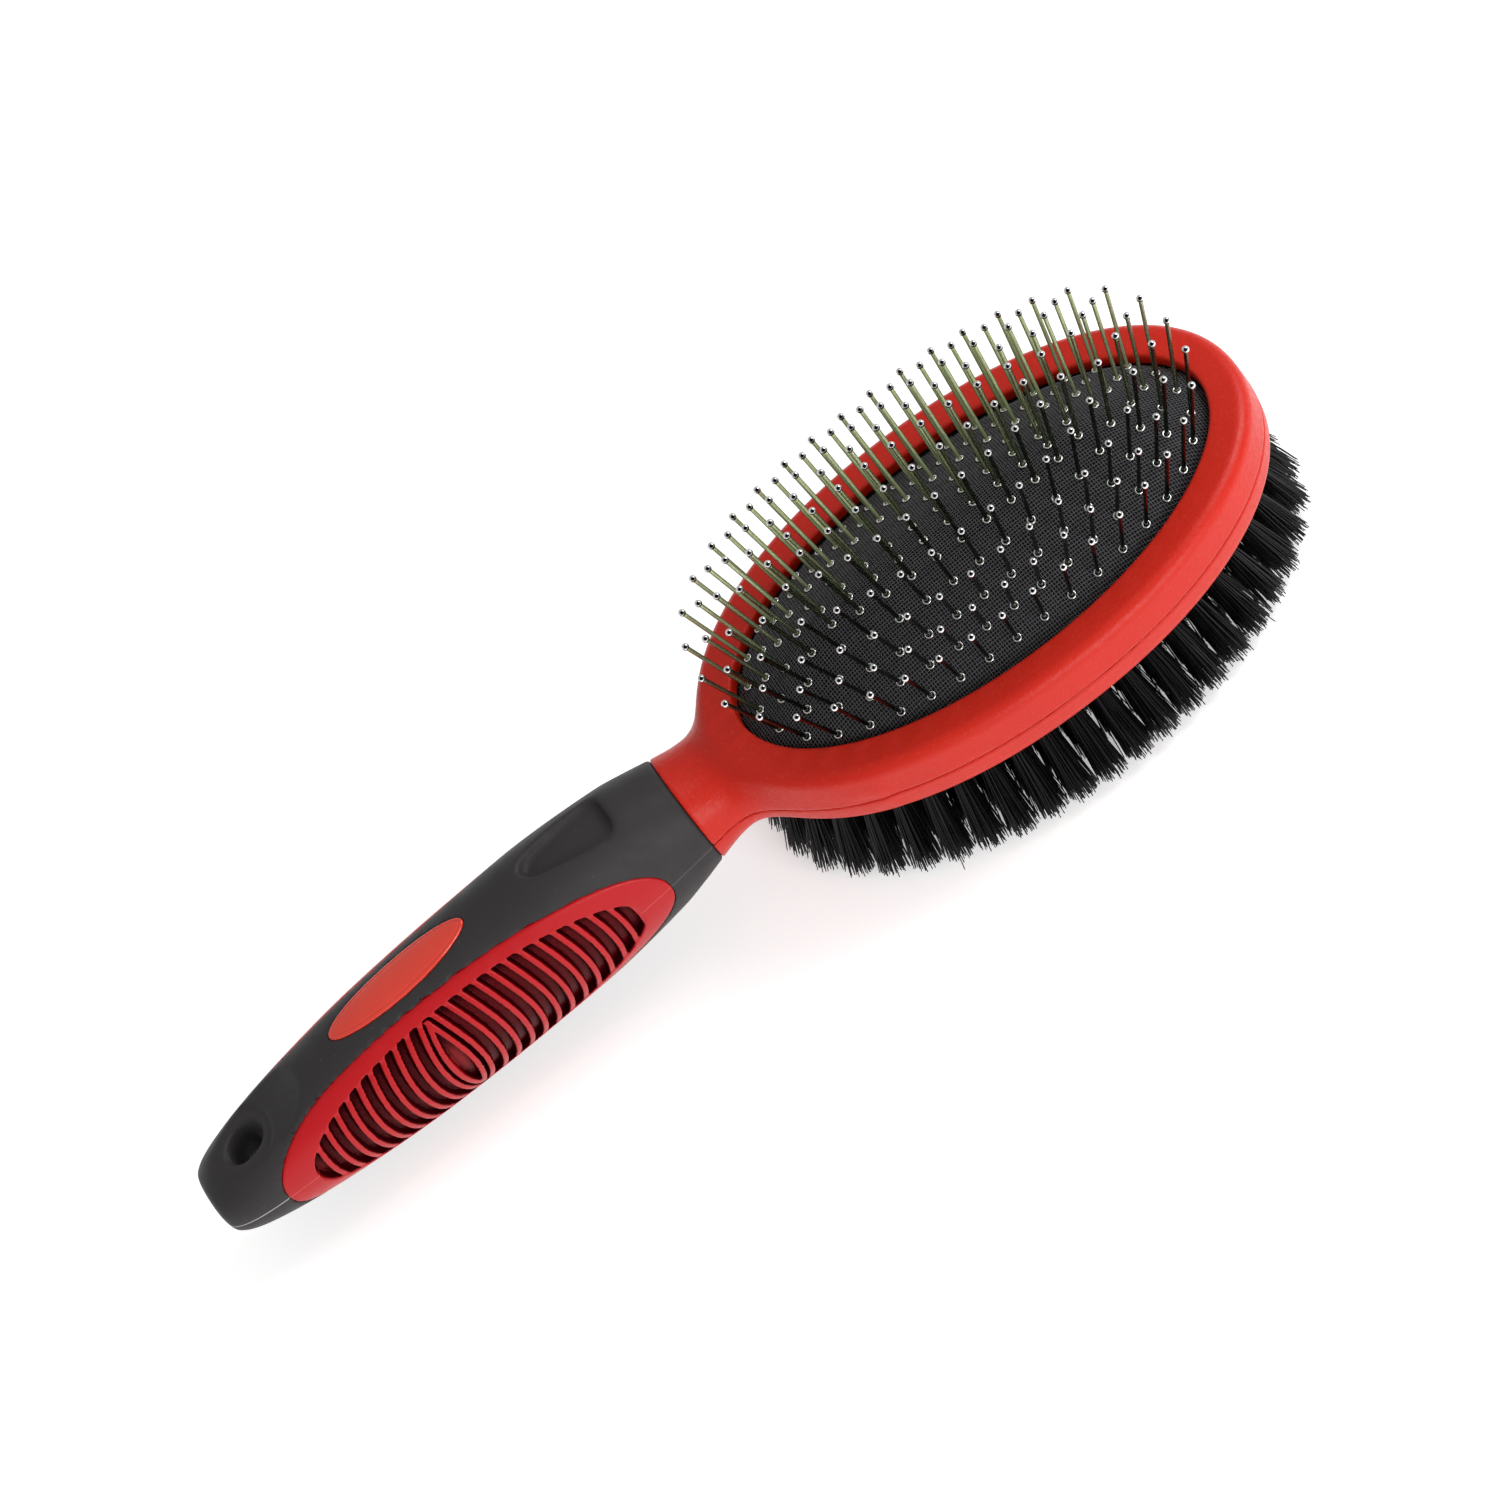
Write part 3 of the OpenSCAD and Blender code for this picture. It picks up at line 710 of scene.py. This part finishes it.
def ball_material():
    """Bright steel ball with painted reflections: a dark spot in the middle where it would mirror the
    camera, a bright ring and a dark rim.
    """
    m = Nodes("ball_steel")
    spot, bright = (0.09, srgb(16, 16, 17)), (0.2, srgb(236, 237, 238))
    flank, rim = (0.5, srgb(226, 227, 228)), (0.85, srgb(40, 40, 42))
    # Painted reflections by viewing angle: dark middle spot, bright ring and flank, dark rim.
    m.set(Base_Color=m.ramp(m.facing(), spot, bright, flank, rim), Metallic=1.0)
    m.rough(m.noise(1500, 2), 0.08, 0.16)
    m.bump(m.noise(1200, 2), 0.004, 0.5)
    return m.mat


def collar_material():
    m = Nodes("collar_steel")
    m.set(Base_Color=m.mix(m.noise(600, 2), srgb(196, 197, 196), srgb(226, 227, 226)), Metallic=1.0)
    m.rough(m.noise(900, 2), 0.1, 0.22)
    m.bump(m.noise(1500, 2), 0.008, 0.5)
    return m.mat


def nylon_material():
    m = Nodes("bristle_nylon")
    streak = m.noise(700, 3, 0.5, m.stretched(0.12))
    m.set(Base_Color=m.mix(streak, srgb(1, 1, 2), srgb(6, 6, 7)), Specular_IOR_Level=0.22)
    m.rough(streak, 0.3, 0.48)
    m.bump(m.noise(2600, 2), 0.006, 0.6)
    return m.mat


def moulded_material(name, low, high, smoothest, dullest):
    m = Nodes(name)
    m.set(Base_Color=m.mix(m.noise(90), low, high))
    m.rough(m.noise(420), smoothest, dullest)
    m.bump(m.noise(1500), 0.02, 0.7)
    return m.mat


def foam_material():
    m = Nodes("foam")
    cells = m.cells(900)
    m.set(Base_Color=m.mix(cells, srgb(52, 53, 56), srgb(104, 105, 110)), Roughness=0.92)
    m.bump(cells, 0.4)
    return m.mat


def wire_material():
    m = Nodes("anchor_wire")
    m.set(Base_Color=m.mix(m.noise(500, 2), srgb(150, 150, 148), srgb(190, 190, 188)), Metallic=1.0)
    m.rough(m.noise(900, 2), 0.25, 0.4)
    m.bump(m.noise(1800, 2), 0.01, 0.6)
    return m.mat


RED = red_shell_material()
GRIP = grip_material()
INSERT = insert_material()
BADGE = badge_material()
RUBBER = rubber_material()
WARP = thread_material("mesh_warp", srgb(54, 53, 56), srgb(92, 91, 96))
WEFT = thread_material("mesh_weft", srgb(48, 48, 51), srgb(82, 81, 86))
STEEL = steel_material()
BALL = ball_material()
COLLAR = collar_material()
NYLON = nylon_material()
CORE = moulded_material("core_plastic", srgb(30, 30, 31), srgb(44, 44, 46), 0.4, 0.58)
PLATE = moulded_material("plate_plastic", srgb(20, 20, 21), srgb(34, 34, 36), 0.34, 0.52)
FOAM = foam_material()
WIRE = wire_material()


# ---------------------------------------------------------------- shells, grip, inserts, badge
def skin(name, node, mesh, material):
    """Finely meshed piece in place of a CAD node."""
    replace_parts(make_object(name, mesh, material, sharp=50), node)


mesh = surface(pin_shell_field, (JOINT_X - 0.3, -35, -2.4), (58.6, 35, 9.3), 0.42)
skin("pin_shell_skin", "pin_side_shell", mesh, RED)
mesh = surface(bristle_shell_field, (JOINT_X - 0.3, -35, -13.2), (58.6, 35, 0.4), 0.42)
skin("bristle_shell_skin", "bristle_side_shell", mesh, RED)
mesh = surface(sleeve_field, (TAIL_X - 0.3, -12.8, -24), (JOINT_X, 12.8, 13.5), 0.45)
skin("grip_sleeve_skin", "grip_sleeve", mesh, GRIP)
pts, quads = surface(insert_field, (-168, 2.6, -24), (-78, 12.8, 12.4), 0.26)
mirrored = pts * [1, -1, 1], quads[:, ::-1]
skin("ribbed_insert_left", "grip_insert_left", (pts, quads), INSERT)
skin("ribbed_insert_right", "grip_insert_right", mirrored, INSERT)
mesh = surface(badge_field, (-144, -4.2, 4), (-111, 4.2, 12.5), 0.16)
skin("oval_badge", "badge", mesh, BADGE)


# ---------------------------------------------------------------- oval family and dome
NEARLY_0 = 0.02  # radius and half width of the first ring of a grid that starts on its axis


def fullness(b):
    """Power of the oval of half width b: a plain ellipse at the clamped edge, fuller inside."""
    return np.minimum(2.5, 2 + 0.12 * np.maximum(0.0, DOME_B - b))


def ring_points(b, a, e):
    """Points at the angles a of the oval of half width b and power e."""
    c, d = np.cos(a), np.sin(a)
    x = (b + LEAD) * np.sign(c) * np.abs(c) ** (2 / e)
    return np.stack([x, b * np.sign(d) * np.abs(d) ** (2 / e)], -1)


def even_ring(b, n, shift, e):
    """n points (x, y, b) at equal arc distances along the oval of half width b and power e."""
    p = ring_points(b, np.linspace(0, 2 * np.pi, 1441), e)
    s = np.concatenate([[0], np.cumsum(np.linalg.norm(np.diff(p, axis=0), axis=1))])
    at = s[-1] * (np.arange(n) + shift) / n
    return [(x, y, b) for x, y in zip(np.interp(at, s, p[:, 0]), np.interp(at, s, p[:, 1]))]


def ring_b(x, y):
    """Half width of the oval that passes through (x, y), by halving an interval."""
    x, y = np.abs(x), np.abs(y)
    lo = np.zeros(x.shape)
    hi = np.full(x.shape, 80.0)
    for _ in range(40):
        mid = (lo + hi) / 2
        e = fullness(mid)
        out = (x / (mid + LEAD)) ** e + (y / np.maximum(mid, 1e-9)) ** e > 1
        lo = np.where(out, mid, lo)
        hi = np.where(out, hi, mid)
    return (lo + hi) / 2


def fall(b):
    return np.hypot(b, CROWN) - CROWN


def dome_z(b):
    return EDGE_Z + DOME_H * (1 - fall(np.minimum(b, DOME_B)) / fall(DOME_B))


def polar_grid(bs, zs, segments):
    """Skin through one oval ring of half width b at height z for each pair in bs and zs."""
    a = np.linspace(0, 2 * np.pi, segments, endpoint=False)
    flat = [ring_points(b, a, fullness(b)) for b in bs]
    rings = [np.column_stack([ring, np.full(segments, z)]) for ring, z in zip(flat, zs)]
    return np.concatenate(rings), tube_quads(len(rings), segments)[:, ::-1]


def pin_ring(b, n, shift):
    return even_ring(b, n, shift, fullness(b))


PIN_GROUPS = [
    ("outer", "pins_outer", "pin_ring_outer", pin_ring(22.1, 38, 0.0)),
    ("second", "pins_second", "pin_ring_second", pin_ring(18.0, 34, 0.5)),
    ("third", "pins_third", "pin_ring_third", pin_ring(13.95, 30, 0.0)),
    ("fourth", "pins_fourth", "pin_ring_fourth", pin_ring(9.3, 26, 0.5)),
    ("inner", "pins_inner", "pin_ring_inner", pin_ring(4.4, 22, 0.5)),
    ("centre", "pins_centre", "pin_row_centre", [(5.5 * i, 0.0, 0.0) for i in range(-4, 5)]),
]
PIN_PLACES = np.array([p for group in PIN_GROUPS for p in group[3]])
DIMPLE, DIMPLE_SPREAD, DIMPLED_B = 0.32, 1.1, 24


def dimple(x, y, b):
    """How far the pins draw the cushion's face down round their feet."""
    d2 = (x[:, None] - PIN_PLACES[:, 0]) ** 2 + (y[:, None] - PIN_PLACES[:, 1]) ** 2
    return np.where(b < DIMPLED_B, (DIMPLE * np.exp(-d2 / DIMPLE_SPREAD)).sum(1), 0)


# ---------------------------------------------------------------- cushion
# Membrane: a domed rubber skin sunk a little under its cloth, and a clamped flange.
SKIN_SUNK = 0.1
RINGS, SEGMENTS = 64, 300
top_b = np.linspace(NEARLY_0, DOME_B, RINGS)
under_b = np.linspace(24.9, NEARLY_0, 30)
under_edge_z = EDGE_Z - MEMBRANE_T
flange_z = [EDGE_Z, EDGE_Z, under_edge_z, under_edge_z, under_edge_z]
bs = np.concatenate([top_b, [28.0, FLANGE_B, FLANGE_B, 27.5, 25.0], under_b])
zs = np.concatenate([dome_z(top_b), flange_z, dome_z(under_b) - MEMBRANE_T])
verts, quads = polar_grid(bs, zs, SEGMENTS)
top = verts[: RINGS * SEGMENTS]
top[:, 2] -= SKIN_SUNK + dimple(top[:, 0], top[:, 1], ring_b(top[:, 0], top[:, 1]))
membrane = make_object("cushion_skin", (verts, quads), RUBBER)
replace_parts(membrane, "cushion_membrane")

# Woven cloth bonded on the rubber.
WEAVE_B, THREAD_PITCH = 26.1, 0.56
THREAD_LIFT, THREAD_WAVE, THREAD_HALF_T = 0.07, 0.05, 0.06
WARP_HALF_W, WEFT_HALF_W = 0.078, 0.073


def thread(k, n, along_x):
    """Thread k of one direction, 2 n half pitches long, passing over and under its crossings."""
    idx = np.arange(-n, n + 1)
    run = idx * (THREAD_PITCH / 2)
    phase = rng.uniform(0, 6.28)
    wander = 0.035 * np.sin(run * 0.31 + phase) + 0.03 * np.sin(run * 1.1 + 2 * phase)
    side = (k + 0.5) * THREAD_PITCH + wander
    x, y = (run, side) if along_x else (side, run)
    parity = idx // 2 + k + (0 if along_x else 1)
    over = np.where(parity % 2 == 0, 1.0, -1.0) * (idx % 2)
    b = ring_b(x, y)
    z = dome_z(b) + THREAD_LIFT + THREAD_WAVE * over - dimple(x, y, b)
    w, across = (WARP_HALF_W, [0, 1, 0]) if along_x else (WEFT_HALF_W, [1, 0, 0])
    section = np.outer([-w, 0, w, 0], across)
    section[:, 2] = 0, THREAD_HALF_T, 0, -THREAD_HALF_T
    ring = np.stack([x, y, z], -1)[:, None] + section
    quads = square_tube(len(idx))
    return ring.reshape(-1, 3), quads if along_x else quads[:, ::-1]


def weave(along_x):
    """All threads of one direction over the oval of half width WEAVE_B."""
    reach, span = WEAVE_B, WEAVE_B + LEAD
    if not along_x:
        reach, span = span, reach
    count = int(reach / THREAD_PITCH)
    threads = []
    for k in range(-count, count + 1):
        off_middle = (k + 0.5) * THREAD_PITCH / reach
        if abs(off_middle) >= 1:
            continue
        n = int(span * math.sqrt(1 - off_middle**2) / (THREAD_PITCH / 2))
        if n >= 3:
            threads.append(thread(k, n, along_x))
    return join(threads)


def press(piece):
    """Gives the piece a mesh of its own."""
    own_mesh(piece)


for along, name, material in ((True, "mesh_threads_along", WARP), (False, "mesh_threads_across", WEFT)):
    cloth = make_object(name, weave(along), material)
    press(cloth)
press(membrane)

# Foam pad under the skin: an irregular open-cell block.
FOAM_B, FOAM_DROP, FOAM_FOOT_Z, FOAM_FIXED_Z = 24.6, 4.5, -0.15, -0.18
FOAM_ROUGH, FOAM_SEGMENTS = 0.05, 220
top_b = np.concatenate([[NEARLY_0], np.linspace(1.5, FOAM_B, 34)])
under_b = np.linspace(24.0, NEARLY_0, 14)
bs = np.concatenate([top_b, [FOAM_B + 0.1, FOAM_B + 0.1], under_b])
zs = np.concatenate([dome_z(top_b) - FOAM_DROP, [0.6, FOAM_FOOT_Z], np.full(len(under_b), FOAM_FOOT_Z)])
verts, quads = polar_grid(bs, zs, FOAM_SEGMENTS)
top = verts[: len(top_b) * FOAM_SEGMENTS]
top += rng.normal(0, FOAM_ROUGH, top.shape)
verts[:, 2] = np.maximum(verts[:, 2], FOAM_FOOT_Z - 0.02)
foam = make_object("foam_block", (verts, quads), FOAM)
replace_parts(foam, "foam_pad")
press(foam)

# ---------------------------------------------------------------- pins with collars
PIN_L, PIN_R, BALL_R, BEND = 18.8, 0.4, 0.7, 0.006
BALL_FOOT = PIN_L - 2 * BALL_R
LEAN_X = 0.325  # degrees per mm of x
LEAN_Y, LEAN_TURN = 25.0, 5.3  # most degrees to a side, and how fast its sine runs with b
STUD_R, STUD_LOW, STUD_TOP = 1.3, -2.7, -2.2  # flat head of the wire under the membrane
COLLAR_R, COLLAR_TUBE, COLLAR_LIFT, COLLAR_TUCK = 0.66, 0.2, 0.24, 0.9


def pin_axis(x, y, b):
    side = LEAN_Y * math.sin(math.radians(LEAN_TURN * b)) * y / b if b else 0.0
    d = np.array([math.tan(math.radians(LEAN_X * x)), math.tan(math.radians(side)), 1.0])
    return d / np.linalg.norm(d)


def basis(axis):
    """Two directions square to an axis and to each other."""
    ref = np.array([1.0, 0, 0]) if abs(axis[0]) < 0.8 else np.array([0, 1.0, 0])
    u = np.cross(axis, ref)
    u /= np.linalg.norm(u)
    return u, np.cross(axis, u)


def revolve(profile, segments, centre, axis):
    """Skin of a list of (radius, height) turned round an axis."""
    u, v = basis(axis)
    a = np.linspace(0, 2 * np.pi, segments, endpoint=False)
    prof = np.array(profile)
    ring = np.cos(a)[:, None] * u + np.sin(a)[:, None] * v
    verts = centre + prof[:, 1][:, None, None] * axis + prof[:, 0][:, None, None] * ring[None]
    return verts.reshape(-1, 3), tube_quads(len(prof), segments)


wire_profile = [(NEARLY_0, STUD_LOW), (STUD_R - 0.05, STUD_LOW), (STUD_R, STUD_LOW + 0.08)]
wire_profile += [(STUD_R, STUD_TOP - 0.1), (STUD_R - 0.05, STUD_TOP - 0.02), (PIN_R, STUD_TOP)]
wire_profile += [(PIN_R, h) for h in np.linspace(-1.0, BALL_FOOT - 0.4, 9)]
wire_profile += [(PIN_R * 1.02, BALL_FOOT - 0.1), (PIN_R * 0.9, BALL_FOOT + 0.35)]
ball_profile = [
    (BALL_R * math.sin(t), PIN_L - BALL_R - BALL_R * math.cos(t))
    for t in np.linspace(math.asin(PIN_R / BALL_R) + 0.05, math.pi - 0.02, 16)
]
collar_profile = [
    (COLLAR_R - COLLAR_TUBE * math.cos(t), COLLAR_LIFT + COLLAR_TUBE * math.sin(t))
    for t in np.linspace(-COLLAR_TUCK, math.pi + COLLAR_TUCK, 12)
]
PIN_PARTS = [
    ("wires", wire_profile, 20, STEEL),
    ("balls", ball_profile, 24, BALL),
    ("collars", collar_profile, 28, COLLAR),
]
for ring_name, body, node, pins in PIN_GROUPS:
    stands = []
    for x, y, b in pins:
        lean = pin_axis(x, y, b) + np.append(rng.normal(0, BEND, 2), 0)
        stands.append((np.array([x, y, float(dome_z(b))]), lean / np.linalg.norm(lean)))
    for part_name, profile, segments, material in PIN_PARTS:
        mesh = join([revolve(profile, segments, foot, lean) for foot, lean in stands])
        name = f"pin_{part_name}_{ring_name}"
        piece = make_object(name, mesh, material, body=body, sharp=40)
        if part_name == "wires":
            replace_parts(piece, node)

# ---------------------------------------------------------------- bristles
BRISTLE_L, BRISTLE_FOOT_Z = 21.0, -6.9
TUFT_R, TUFT_TIP_R = 1.25, 3.8
TUFT_LEAN_X, TUFT_LEAN_Y = 0.28, 0.68  # degrees per mm of x and of y
ROOT_DEPTH = 2.2
FILAMENTS = 124
FILAMENT_R, FILAMENT_RINGS = 0.125, 5
GOLDEN_ANGLE = 2.39996
TIP_SPREAD, TIP_SCATTER = 0.92, 0.22
STRAY_SHARE, STRAY_SCATTER = 0.05, 1.0
SHORTER, LENGTH_SCATTER, LONGEST = -0.35, 0.32, 0.25  # against BRISTLE_L
CURL = 0.16
TUFT_GROUPS = [
    ("outer", "tuft_ring_outer", even_ring(26.4, 44, 0.5, 2)),
    ("second", "tuft_ring_second", even_ring(20.7, 38, 0.0, 2)),
    ("third", "tuft_ring_third", even_ring(15.0, 32, 0.5, 2)),
    ("inner", "tuft_ring_inner", even_ring(9.3, 26, 0.0, 2)),
    ("centre", "tuft_row_centre", even_ring(3.8, 19, 0.0, 2)),
]


def tuft(x, y):
    """One bundle of filaments that splays towards ragged tips."""
    lean_x, lean_y = math.radians(TUFT_LEAN_X * x), math.radians(TUFT_LEAN_Y * y)
    axis = np.array([math.tan(lean_x), math.tan(lean_y), -1.0])
    axis /= np.linalg.norm(axis)
    u, v = basis(axis)
    n = FILAMENTS
    r = np.sqrt((np.arange(n) + 0.5) / n)
    a = np.arange(n) * GOLDEN_ANGLE + rng.uniform(0, 6.28)
    root = np.stack([np.cos(a), np.sin(a)], 1) * (r * (TUFT_R - 0.12))[:, None]
    tip = root * (TUFT_TIP_R * TIP_SPREAD / TUFT_R) + rng.normal(0, TIP_SCATTER, (n, 2))
    stray = rng.random(n) < STRAY_SHARE
    tip[stray] += rng.normal(0, STRAY_SCATTER, (stray.sum(), 2))
    length = BRISTLE_L + rng.normal(SHORTER, LENGTH_SCATTER, n)
    length = np.minimum(length, BRISTLE_L + LONGEST)
    curl = rng.normal(0, CURL, (n, 2))
    t = np.linspace(0, 1, FILAMENT_RINGS)
    h = -ROOT_DEPTH + t[None, :] * (length + ROOT_DEPTH)[:, None]
    s = np.clip(h / length[:, None], 0, 1)
    off = root[:, None] + (tip - root)[:, None] * s[..., None]
    off = off + curl[:, None] * (s * (1 - s) * 4)[..., None]
    foot = np.array([x, y, BRISTLE_FOOT_Z])
    centre = foot + off[..., :1] * u + off[..., 1:] * v + h[..., None] * axis
    section = np.array([u, v, -u, -v])
    radius = FILAMENT_R * (1 - 0.25 * s**6)
    verts = centre[:, :, None] + radius[..., None, None] * section
    quads = square_tube(FILAMENT_RINGS)[None] + (np.arange(n) * FILAMENT_RINGS * 4)[:, None, None]
    return verts.reshape(-1, 3), quads.reshape(-1, 4)


for ring_name, node, tufts in TUFT_GROUPS:
    mesh = join([tuft(x, y) for x, y, _ in tufts])
    piece = make_object(f"filaments_{ring_name}", mesh, NYLON, sharp=60)
    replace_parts(piece, node)

# ---------------------------------------------------------------- carried-over CAD nodes
for node, material in (
    ("handle_core", CORE),
    ("cushion_ring", CORE),
    ("cushion_base_plate", CORE),
    ("bristle_plate", PLATE),
    ("tuft_anchors", WIRE),
):
    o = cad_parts[node]
    o.data.materials.clear()
    o.data.materials.append(material)


# ---------------------------------------------------------------- floor, light, camera
FLOOR_HALF, FLOOR_GAP, FLOOR_GLOW = 3.0, 0.0002, 0.42  # metres, metres, emission strength
WORLD_LIGHT = 0.52


def link_new(name, data):
    o = bpy.data.objects.new(name, data)
    bpy.context.scene.collection.objects.link(o)
    return o


def add_floor(z):
    """White paper, glowing a little so that it meets the white surroundings without an edge."""
    s = FLOOR_HALF
    me = bpy.data.meshes.new("floor")
    me.from_pydata([(-s, -s, z), (s, -s, z), (s, s, z), (-s, s, z)], [], [(0, 1, 2, 3)])
    m = Nodes("floor_paper")
    m.set(Base_Color=m.mix(m.noise(3, 2), (0.96, 0.96, 0.96, 1), (0.975, 0.975, 0.975, 1)))
    m.set(Roughness=0.85, Specular_IOR_Level=0.2)
    m.set(Emission_Color=(1, 1, 1, 1), Emission_Strength=FLOOR_GLOW)
    me.materials.append(m.mat)
    link_new("floor", me)


def add_world():
    world = bpy.data.worlds.new("studio")
    bpy.context.scene.world = world
    world.use_nodes = True
    sky = world.node_tree.nodes["Background"]
    sky.inputs[0].default_value = (1.0, 0.99, 0.985, 1)
    sky.inputs[1].default_value = WORLD_LIGHT


def area_light(name, offset, size, power):
    """A soft box at an offset in metres from the head, turned towards it."""
    data = bpy.data.lights.new(name, "AREA")
    data.shape = "RECTANGLE"
    data.size, data.size_y = size
    data.energy = power
    o = link_new(name, data)
    o.location = HEAD + Vector(offset)
    o.rotation_mode = "QUATERNION"
    o.rotation_quaternion = (HEAD - o.location).to_track_quat("-Z", "Y")


AZIMUTH, ELEVATION, ROLL = 1.9813, 51.6297, -39.0275
SHIFT_RIGHT, SHIFT_UP, DISTANCE = 41.8179, 31.886, 864.0
LENS, SENSOR = 115.72, 36.0


def add_camera():
    """Camera turned about HEAD by azimuth and elevation, rolled, then moved within its own plane."""
    azimuth, elevation, roll = (math.radians(k) for k in (AZIMUTH, ELEVATION, ROLL))
    flat = math.cos(elevation)
    back = Vector((math.sin(azimuth) * flat, -math.cos(azimuth) * flat, math.sin(elevation)))
    level = Vector((0, 0, 1)).cross(back).normalized()
    upright = back.cross(level)
    right = level * math.cos(roll) + upright * math.sin(roll)
    up = upright * math.cos(roll) - level * math.sin(roll)
    data = bpy.data.cameras.new("camera")
    data.lens, data.sensor_width = LENS, SENSOR
    data.clip_start, data.clip_end = 0.05, 20.0
    camera = link_new("camera", data)
    camera.matrix_world = Matrix((right, up, back)).transposed().to_4x4()
    camera.location = HEAD + (back * DISTANCE - right * SHIFT_RIGHT - up * SHIFT_UP) * MM
    bpy.context.scene.camera = camera


lo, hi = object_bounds()
add_floor(lo.z - FLOOR_GAP)
add_world()
area_light("key", (0.56, 0.06, 0.56), (0.4, 0.4), 3.4)
area_light("fill", (0.22, -0.78, 0.3), (0.6, 0.4), 4.0)
add_camera()
bpy.context.scene.view_settings.view_transform = "Standard"
